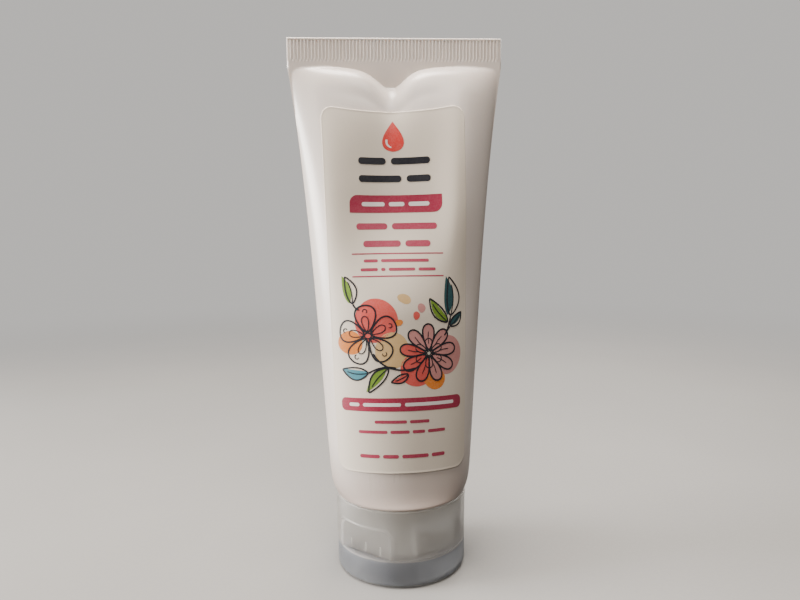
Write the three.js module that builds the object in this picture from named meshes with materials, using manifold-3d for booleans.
// A plastic squeeze tube of shaving cream that stands upside down on its flip-top cap.
// Units are millimetres, +Z is up, and the origin is the centre of the lid's outer face, where it rests.
// The front label faces -Y, the flat crimp at the top runs along X.
import * as THREE from "three";
import { mergeVertices } from "three/addons/utils/BufferGeometryUtils.js";
import Module from "manifold-3d";

const wasm = await Module();
wasm.setup();

// ---------------------------------------------------------------- driving dimensions
const TUBE_DIAMETER = 39.7; // sleeve, where the round shoulder holds it
const SLEEVE_WALL = 0.5;
const HEIGHT = 158;
const CRIMP_HEIGHT = 8;
const CRIMP_THICKNESS = 1.1;
const CREAM_LEVEL = 122.4; // holds 100 ml below it

const CAP_DIAMETER = 40; // at the cap's open rim
const CAP_HEIGHT = 23.2; // base and lid, closed
const CAP_WALL = 1.1;
const LID_HEIGHT = 8.4;
const LID_DIAMETER = 39.4;
const LID_EDGE_RADIUS = 1.6;
const LID_PLATE = 1.4;
const PARTING_GAP = 0.2;
const CAP_TURN = THREE.MathUtils.degToRad(-40.7); // how far the cap is turned from the label at rest

const NECK_RADIUS = 8.7;
const NECK_BORE_RADIUS = 5;
const NECK_END = 11.2; // height of the neck's open end
const SNAP_BEAD = 0.6; // how far the neck's snap bead stands proud
const ORIFICE_RADIUS = 2.5;
const RUNNING_GAP = 0.25; // between the neck and the cap that turns on it

const RECESS_HALF_WIDTH = 8.9; // thumb recess in the cap's front
const RECESS_HEIGHT = 8.5;
const RECESS_PLANE = 17.5; // distance of its flat wall from the cap's axis
const GRIP_RIB_PITCH = 5.5; // three small ribs at the recess's foot
const THUMB_SHELF = 1.1; // thickness of the lid's shelf under the recess

const HINGE_PLANE = 18.1; // distance of the hinge's flat from the cap's axis
const STRAP_PLANE = 18.15; // the straps' outer faces, with the hinge's own axis in them
const HINGE_FLAT_TOP = 13.5;
const HINGE_WINDOW = 7; // half the width of the slot that the straps cross
const HINGE_DECK_EDGE = 16.3; // where the cap's deck stops short of the straps
const STRAP_REACH = 3.4; // how far each strap runs above and below the parting line
const STRAP_THICKNESS = 0.5;

const LABEL_WIDTH = 41.6; // along the sleeve's surface
const LABEL_SHIFT = -0.3; // the front label sits this far off the middle at its foot
const LABEL_LEAN = -1.1; // and its top this much further
const LABEL_BOTTOM = 33.9; // at the middle of its bottom edge
const LABEL_TOP = 136.3; // at the middle of its top edge
const LABEL_TOP_RISE = 2.35; // how much higher the top corners lie
const LABEL_BOTTOM_DROP = 0.75; // how much lower the bottom corners lie
const LABEL_CORNER = 4;
const LABEL_LIFT = 0.15; // gap between sleeve and label
const LABEL_THICKNESS = 0.15;

const LATHE_SEGMENTS = 48;
const SLEEVE_SEGMENTS = 40;

// ---------------------------------------------------------------- worked out from them
const SHOULDER_Z = CAP_HEIGHT + 0.3; // the sleeve's lower edge
const CRIMP_Z = HEIGHT - CRIMP_HEIGHT;
const PERIMETER = Math.PI * TUBE_DIAMETER; // the same at every height, because the sleeve doesn't stretch
const FLAT_HALF_WIDTH = PERIMETER / 4;
const CAP_RADIUS = CAP_DIAMETER / 2;
const LID_RADIUS = LID_DIAMETER / 2;
const BASE_Z = LID_HEIGHT + PARTING_GAP;
const DECK_TOP = BASE_Z + 1.2;
const HINGE_Z = LID_HEIGHT + PARTING_GAP / 2;

// ---------------------------------------------------------------- geometry helpers
// A closed profile of [radius, height] pairs turned about the Z axis.
function lathe(profile, segments = LATHE_SEGMENTS) {
  const points = profile.map(([r, z]) => new THREE.Vector2(r, z));
  if (profile[0][0] > 0) points.push(points[0].clone());
  return new THREE.LatheGeometry(points, segments).rotateX(Math.PI / 2);
}

// A box between two corners.
function box([x0, y0, z0], [x1, y1, z1]) {
  return new THREE.BoxGeometry(x1 - x0, y1 - y0, z1 - z0)
    .translate((x0 + x1) / 2, (y0 + y1) / 2, (z0 + z1) / 2);
}

// A closed body through rings of points, with a fan across the first and the last ring.
function loft(rings) {
  const count = rings[0].length;
  const vertices = rings.flat();
  const faces = [];
  for (let r = 0; r + 1 < rings.length; r++) {
    for (let i = 0; i < count; i++) {
      const here = r * count + i;
      const next = r * count + ((i + 1) % count);
      faces.push(here, next, here + count, next, next + count, here + count);
    }
  }
  const closeEnd = (first, forward) => {
    const centre = new THREE.Vector3();
    for (let i = 0; i < count; i++) centre.addScaledVector(vertices[first + i], 1 / count);
    vertices.push(centre);
    for (let i = 0; i < count; i++) {
      const a = first + i;
      const b = first + ((i + 1) % count);
      faces.push(vertices.length - 1, forward ? a : b, forward ? b : a);
    }
  };
  closeEnd(0, false);
  closeEnd((rings.length - 1) * count, true);
  return new THREE.BufferGeometry().setFromPoints(vertices).setIndex(faces);
}

function toSolid(geometry) {
  const bare = geometry.clone();
  bare.deleteAttribute("normal");
  bare.deleteAttribute("uv");
  const merged = mergeVertices(bare, 1e-4);
  return new wasm.Manifold(new wasm.Mesh({
    numProp: 3,
    vertProperties: merged.attributes.position.array,
    triVerts: new Uint32Array(merged.index.array),
  }));
}

function toGeometry(solid) {
  const { vertProperties, triVerts } = solid.getMesh();
  return new THREE.BufferGeometry()
    .setAttribute("position", new THREE.BufferAttribute(new Float32Array(vertProperties), 3))
    .setIndex(new THREE.BufferAttribute(new Uint32Array(triVerts), 1));
}

const unite = (first, ...others) => others.reduce((all, g) => all.add(toSolid(g)), first);
const cut = (first, ...others) => others.reduce((all, g) => all.subtract(toSolid(g)), first);

// ---------------------------------------------------------------- the sleeve's shape
// Half the sleeve's width at a height: round on the shoulder, wider as it flattens towards the crimp.
function halfWidth(z) {
  const round = TUBE_DIAMETER / 2;
  const s = THREE.MathUtils.clamp((z - SHOULDER_Z) / (CRIMP_Z - SHOULDER_Z), 0, 1);
  const flattening = 21.15 + 7.54 * s + (FLAT_HALF_WIDTH - 28.69) * s ** 4.6;
  const freed = z > 24 ? 1 - Math.exp((24 - z) / 1.8) : 0;
  return round + freed * (flattening - round);
}

// From an ellipse (1) at the shoulder towards a lens with pointed sides under the crimp.
function sectionPower(z) {
  const s = THREE.MathUtils.clamp((z - SHOULDER_Z) / (CRIMP_Z - SHOULDER_Z), 0, 1);
  return 1 + 0.55 * s ** 3;
}

function sectionPoint(a, b, power, t) {
  const sine = Math.sin(t);
  return new THREE.Vector2(a * Math.cos(t), b * Math.sign(sine) * Math.abs(sine) ** power);
}

function sectionLength(a, b, power) {
  const steps = 120;
  let length = 0;
  for (let i = 0; i < steps; i++) {
    const p = sectionPoint(a, b, power, (i / steps) * 2 * Math.PI);
    length += p.distanceTo(sectionPoint(a, b, power, ((i + 1) / steps) * 2 * Math.PI));
  }
  return length;
}

// Half the sleeve's depth at a height, from its constant perimeter, closing into the crimp.
const depths = new Map();
function halfDepth(z) {
  const key = Math.round(z * 1000);
  if (!depths.has(key)) depths.set(key, findHalfDepth(z));
  return depths.get(key);
}

function findHalfDepth(z) {
  const a = halfWidth(z);
  const power = sectionPower(z);
  let low = 0;
  let high = TUBE_DIAMETER;
  for (let i = 0; i < 30; i++) {
    const b = (low + high) / 2;
    if (sectionLength(a, b, power) < PERIMETER) low = b;
    else high = b;
  }
  const pinched = CRIMP_THICKNESS / 2;
  return pinched + Math.max(0, low - pinched) * (1 - Math.exp((z - CRIMP_Z) / 2.5));
}

function ring(z, a, b, power, segments = SLEEVE_SEGMENTS) {
  return Array.from({ length: segments }, (_, i) => {
    const p = sectionPoint(a, b, power, (i / segments) * 2 * Math.PI);
    return new THREE.Vector3(p.x, p.y, z);
  });
}

// A point on the sleeve, lifted off it, at a distance u round it from the middle of the front or back.
function onSleeve(u, z, lift, side) {
  const a = halfWidth(z);
  const b = halfDepth(z);
  const power = sectionPower(z);
  const step = 0.005;
  let t = Math.PI / 2;
  let here = sectionPoint(a, b, power, t);
  let before = here;
  for (let length = 0; length < Math.abs(u);) {
    t -= step;
    before = here;
    here = sectionPoint(a, b, power, t);
    length += here.distanceTo(before);
  }
  const along = sectionPoint(a, b, power, t - step).sub(sectionPoint(a, b, power, t + step)).normalize();
  here = here.clone().add(new THREE.Vector2(-along.y, along.x).multiplyScalar(lift));
  return new THREE.Vector3(Math.sign(u) * here.x * side * -1, here.y * side, z);
}

// ---------------------------------------------------------------- tube
// A thin bag, open at the shoulder and pressed flat into the crimp.
function sleeveGeometry() {
  const heights = [
    24.2, 25, 26.4, 28.5, 32, 40, 52, 66, 80,
    94, 107, 118, 127, 134, 139.5, 143.5, 146.3, 148.4,
  ];
  const shrunk = (z) => {
    const depth = Math.max(halfDepth(z) - SLEEVE_WALL, 0.15);
    return ring(z, halfWidth(z) - SLEEVE_WALL, depth, sectionPower(z));
  };
  const flat = (z) => ring(z, FLAT_HALF_WIDTH, CRIMP_THICKNESS / 2, 0.12);
  const round = (z, inset) => ring(z, TUBE_DIAMETER / 2 - inset, TUBE_DIAMETER / 2 - inset, 1);
  return loft([
    ...heights.toReversed().map(shrunk),
    round(SHOULDER_Z, SLEEVE_WALL + 0.05),
    round(SHOULDER_Z, 0.45),
    round(SHOULDER_Z + 0.2, 0.12),
    ...heights.map((z) => ring(z, halfWidth(z), halfDepth(z), sectionPower(z))),
    flat(CRIMP_Z),
    flat(HEIGHT),
  ]);
}

// The moulded head: a shallow shoulder cone and a neck with a snap bead for the cap.
function headGeometry() {
  const bead = NECK_END + 2.4;
  return lathe([
    [NECK_BORE_RADIUS, NECK_END],
    [NECK_RADIUS - 0.4, NECK_END],
    [NECK_RADIUS, NECK_END + 0.5],
    [NECK_RADIUS, bead - 0.9],
    [NECK_RADIUS + SNAP_BEAD, bead - 0.3],
    [NECK_RADIUS + SNAP_BEAD, bead + 0.5],
    [NECK_RADIUS, bead + 0.8],
    [NECK_RADIUS, 20.6],
    [NECK_RADIUS + 0.8, 21.4],
    [18.6, 23.1],
    [19.05, 23.6],
    [19.05, 24.4],
    [18, 24.4],
    [NECK_RADIUS, 22.8],
    [NECK_BORE_RADIUS, 22.2],
  ]);
}

// The cream, down into the neck, with air left above it under the crimp.
function creamGeometry() {
  const gap = SLEEVE_WALL + 0.35;
  const heights = [26.4, 28.5, 32, 40, 52, 66, 80, 94, 107, 116, CREAM_LEVEL];
  const disc = (z, r) => ring(z, r, r, 1, 32);
  return loft([
    disc(NECK_END + 2, NECK_BORE_RADIUS - 0.4),
    disc(22.4, NECK_BORE_RADIUS - 0.4),
    disc(23.3, NECK_RADIUS - 0.4),
    disc(24.9, 17.6),
    ...heights.map((z) => ring(z, halfWidth(z) - gap, halfDepth(z) - gap, sectionPower(z), 32)),
  ]);
}

// A rectangular label with round corners, bent round the sleeve: side is 1 in front and -1 behind.
function labelGeometry(side) {
  const columns = 14;
  const rows = 12;
  const half = LABEL_WIDTH / 2;
  const edge = (v) => {
    const fromEnd = Math.min(v, LABEL_TOP - LABEL_BOTTOM - v);
    const inCorner = Math.max(0, LABEL_CORNER - fromEnd);
    return half - LABEL_CORNER + Math.sqrt(LABEL_CORNER ** 2 - inCorner ** 2);
  };
  const length = LABEL_TOP - LABEL_BOTTOM;
  const ends = [0, 0.15, 0.5, 1].map((k) => k * LABEL_CORNER);
  const middle = length - 2 * LABEL_CORNER;
  const inner = Array.from({ length: rows - 1 }, (_, i) => LABEL_CORNER + ((i + 1) / rows) * middle);
  const levels = [...ends, ...inner, ...ends.toReversed().map((v) => length - v)];
  const loop = (v) => {
    const rise = (v / length) ** 3 * (LABEL_TOP_RISE + LABEL_BOTTOM_DROP) - LABEL_BOTTOM_DROP;
    const z = (u) => LABEL_BOTTOM + v + rise * (u / half) ** 2;
    const shift = side > 0 ? LABEL_SHIFT + (v / length) * LABEL_LEAN : 0;
    const us = Array.from({ length: columns + 1 }, (_, i) => edge(v) * ((2 * i) / columns - 1));
    const inside = us.map((u) => onSleeve(u + shift, z(u), LABEL_LIFT, -side));
    const outside = us.map((u) => onSleeve(u + shift, z(u), LABEL_LIFT + LABEL_THICKNESS, -side));
    return [...outside, ...inside.toReversed()];
  };
  return stack(levels.map(loop));
}

// A closed sheet through flat loops, each half outside and half inside, with strips across the two ends.
function stack(loops) {
  const count = loops[0].length;
  const vertices = loops.flat();
  const faces = [];
  for (let r = 0; r + 1 < loops.length; r++) {
    for (let i = 0; i < count; i++) {
      const here = r * count + i;
      const next = r * count + ((i + 1) % count);
      faces.push(here, next, here + count, next, next + count, here + count);
    }
  }
  for (const [first, forward] of [[0, false], [(loops.length - 1) * count, true]]) {
    for (let i = 0; i + 1 < count / 2; i++) {
      const [a, b] = [first + i, first + i + 1];
      const [c, d] = [first + count - 2 - i, first + count - 1 - i];
      if (forward) faces.push(a, b, c, a, c, d);
      else faces.push(a, c, b, a, d, c);
    }
  }
  return new THREE.BufferGeometry().setFromPoints(vertices).setIndex(faces);
}

// ---------------------------------------------------------------- cap
// It is modelled with its recess at -Y and its hinge at +Y.

// The cap's outer radius at a height.
function capRadius(z) {
  return LID_RADIUS + ((CAP_RADIUS - LID_RADIUS) * (z - LID_HEIGHT)) / (CAP_HEIGHT - LID_HEIGHT);
}

// The part of the cap's outer cylinder beyond a flat, where a flat wall is built in.
function outerSlice(radius, plane, halfWidthOfSlice, z0, z1, ySign) {
  const disc = toSolid(lathe([[0, z0], [radius, z0], [radius, z1], [0, z1]]));
  const y = [ySign * plane, ySign * (radius + 1)].sort((a, b) => a - b);
  return disc.intersect(toSolid(box([-halfWidthOfSlice, y[0], z0 - 1], [halfWidthOfSlice, y[1], z1 + 1])));
}

function capBaseGeometry() {
  const skirtIn = NECK_RADIUS + SNAP_BEAD + RUNNING_GAP;
  const skirtOut = skirtIn + 1.2;
  const lock = NECK_END + 2.4 + 0.5 + 0.65; // the skirt's own bead sits just above the neck's
  const body = toSolid(lathe([
    [ORIFICE_RADIUS, 5.6],
    [3.9, 5.6],
    [4.6, BASE_Z],
    [17.3, BASE_Z],
    [17.3, BASE_Z - 1.4],
    [18.2, BASE_Z - 1.4],
    [18.2, BASE_Z],
    [capRadius(BASE_Z), BASE_Z],
    [CAP_RADIUS, CAP_HEIGHT - 0.2],
    [CAP_RADIUS - 0.2, CAP_HEIGHT],
    [CAP_RADIUS - CAP_WALL, CAP_HEIGHT],
    [capRadius(DECK_TOP) - CAP_WALL, DECK_TOP],
    [skirtOut, DECK_TOP],
    [skirtOut, 20.2],
    [skirtIn + 0.3, 20.2],
    [skirtIn, 19.6],
    [skirtIn, lock + 1.2],
    [skirtIn - SNAP_BEAD, lock + 0.9],
    [skirtIn - SNAP_BEAD, lock + 0.2],
    [skirtIn, lock],
    [skirtIn, DECK_TOP],
    [NECK_BORE_RADIUS - RUNNING_GAP, DECK_TOP],
    [NECK_BORE_RADIUS - RUNNING_GAP, DECK_TOP + 2.6],
    [ORIFICE_RADIUS + 0.9, DECK_TOP + 2.9],
    [ORIFICE_RADIUS, DECK_TOP + 2.2],
  ]));
  const recessTop = BASE_Z + RECESS_HEIGHT;
  const recessBlock = outerSlice(
    capRadius(recessTop), RECESS_PLANE - CAP_WALL, RECESS_HALF_WIDTH + 1.2, BASE_Z, recessTop + 1, -1,
  );
  const gripRibs = [-1, 0, 1].map((i) =>
    box([-0.2, -RECESS_PLANE - 0.25, BASE_Z + 0.3], [0.2, -RECESS_PLANE + 0.3, BASE_Z + 3.2])
      .translate(i * GRIP_RIB_PITCH, 0, 0));
  const hingeBlock = outerSlice(
    capRadius(HINGE_FLAT_TOP), HINGE_PLANE - CAP_WALL, 9, BASE_Z, HINGE_FLAT_TOP + 1, 1,
  );
  const ribs = [50, 92, 134].flatMap((degrees) => [degrees, -degrees]).map((degrees) =>
    box([-0.4, -18.95, DECK_TOP - 0.3], [0.4, -skirtOut + 0.3, 17])
      .rotateZ(THREE.MathUtils.degToRad(degrees)));
  const recessed = cut(
    body.add(recessBlock),
    box([-RECESS_HALF_WIDTH, -30, 0], [RECESS_HALF_WIDTH, -RECESS_PLANE, recessTop]),
    box([-RECESS_HALF_WIDTH - 1, -30, 0], [RECESS_HALF_WIDTH + 1, -16.2, BASE_Z]),
  );
  return toGeometry(cut(
    unite(recessed.add(hingeBlock), ...ribs, ...gripRibs),
    box([-15, HINGE_PLANE, 0], [15, 30, HINGE_FLAT_TOP]),
    box([-10, HINGE_DECK_EDGE, 0], [10, 30, BASE_Z]),
    box([-HINGE_WINDOW, HINGE_DECK_EDGE, 0], [HINGE_WINDOW, 30, HINGE_Z + STRAP_REACH + 0.05]),
  ));
}

function lidGeometry() {
  const inner = LID_RADIUS - 1.2;
  const corner = Array.from({ length: 5 }, (_, i) => {
    const angle = (i / 4) * (Math.PI / 2);
    return [
      LID_RADIUS - LID_EDGE_RADIUS + LID_EDGE_RADIUS * Math.sin(angle),
      LID_EDGE_RADIUS - LID_EDGE_RADIUS * Math.cos(angle),
    ];
  });
  const pin = ORIFICE_RADIUS - 0.35;
  const body = toSolid(lathe([
    [0, 0],
    ...corner,
    [LID_RADIUS, LID_HEIGHT],
    [inner, LID_HEIGHT],
    [inner, LID_PLATE + 0.8],
    [inner - 0.8, LID_PLATE],
    [pin + 0.5, LID_PLATE],
    [pin, LID_PLATE + 0.5],
    [pin, 6.6],
    [pin - 0.3, 8.2],
    [0, 8.2],
  ]));
  const flatBottom = 1.9;
  const block = outerSlice(LID_RADIUS, HINGE_PLANE - CAP_WALL, 9, flatBottom - 0.6, LID_HEIGHT, 1);
  const shelf = outerSlice(
    LID_RADIUS, RECESS_PLANE - 0.6, RECESS_HALF_WIDTH + 0.6, LID_HEIGHT - THUMB_SHELF, LID_HEIGHT, -1,
  );
  return toGeometry(cut(
    body.add(block).add(shelf),
    box([-15, HINGE_PLANE, flatBottom], [15, 30, 30]),
    box([-HINGE_WINDOW, HINGE_DECK_EDGE, HINGE_Z - STRAP_REACH - 0.05], [HINGE_WINDOW, 30, 30]),
  ));
}

// A hinge strap in the wall's own plane, thinned to a film on the hinge's axis.
function strapGeometry(x0, x1) {
  const y = STRAP_PLANE;
  const film = 0.3;
  const outline = new THREE.Shape([
    [y, HINGE_Z - STRAP_REACH],
    [y, HINGE_Z + STRAP_REACH],
    [y - STRAP_THICKNESS, HINGE_Z + STRAP_REACH],
    [y - STRAP_THICKNESS, HINGE_Z + 0.8],
    [y - film, HINGE_Z + 0.25],
    [y - film, HINGE_Z - 0.25],
    [y - STRAP_THICKNESS, HINGE_Z - 0.8],
    [y - STRAP_THICKNESS, HINGE_Z - STRAP_REACH],
  ].map(([py, pz]) => new THREE.Vector2(py, pz)));
  return extrudeAlongX(outline, x0, x1);
}

// The middle strap bows inwards, so that it is stretched halfway and snaps the lid open or shut.
function snapStrapGeometry(x0, x1) {
  const y = STRAP_PLANE;
  const bow = 0.9;
  const steps = 10;
  const inwards = (k) => bow * Math.cos((k / 2) * Math.PI) ** 2;
  const line = (lift) => Array.from({ length: steps + 1 }, (_, i) => {
    const k = (2 * i) / steps - 1;
    return new THREE.Vector2(y - lift - inwards(k), HINGE_Z + k * STRAP_REACH);
  });
  return extrudeAlongX(new THREE.Shape([...line(0), ...line(STRAP_THICKNESS).toReversed()]), x0, x1);
}

// Extrudes an outline drawn in the Y-Z plane from x0 to x1.
function extrudeAlongX(outline, x0, x1) {
  const geometry = new THREE.ExtrudeGeometry(outline, { depth: x1 - x0, bevelEnabled: false });
  const axes = new THREE.Matrix4().makeBasis(
    new THREE.Vector3(0, 1, 0),
    new THREE.Vector3(0, 0, 1),
    new THREE.Vector3(1, 0, 0),
  );
  return geometry.applyMatrix4(axes).translate(x0, 0, 0);
}

// ---------------------------------------------------------------- materials
const sleevePlastic = new THREE.MeshStandardMaterial({ color: 0xe9e4df, roughness: 0.35 });
const headPlastic = new THREE.MeshStandardMaterial({ color: 0xe4e2dd, roughness: 0.45 });
const creamMatter = new THREE.MeshStandardMaterial({ color: 0xf6f2ea, roughness: 0.6 });
const labelFilm = new THREE.MeshStandardMaterial({ color: 0xf0ece4, roughness: 0.4 });
const capPlastic = new THREE.MeshStandardMaterial({ color: 0xd3d6d6, roughness: 0.4 });
const lidPlastic = new THREE.MeshStandardMaterial({ color: 0xc3c9d0, roughness: 0.4 });

function named(name, geometry, material) {
  const mesh = new THREE.Mesh(geometry, material);
  mesh.name = name;
  return mesh;
}

// ---------------------------------------------------------------- assembly
const tube = new THREE.Group();
tube.add(
  named("tube_sleeve", sleeveGeometry(), sleevePlastic),
  named("tube_head", headGeometry(), headPlastic),
  named("cream_fill", creamGeometry(), creamMatter),
  named("front_label", labelGeometry(1), labelFilm),
  named("back_label", labelGeometry(-1), labelFilm),
);

const cap = new THREE.Group();
cap.rotation.z = CAP_TURN;
cap.add(
  named("cap_base", capBaseGeometry(), capPlastic),
  named("cap_lid", lidGeometry(), lidPlastic),
  named("hinge_strap_left", strapGeometry(-6.7, -3), capPlastic),
  named("hinge_strap_right", strapGeometry(3, 6.7), capPlastic),
  named("hinge_snap_strap", snapStrapGeometry(-2.4, 2.4), capPlastic),
);

const shavingCreamTube = new THREE.Group();
shavingCreamTube.add(tube, cap);

export default shavingCreamTube;
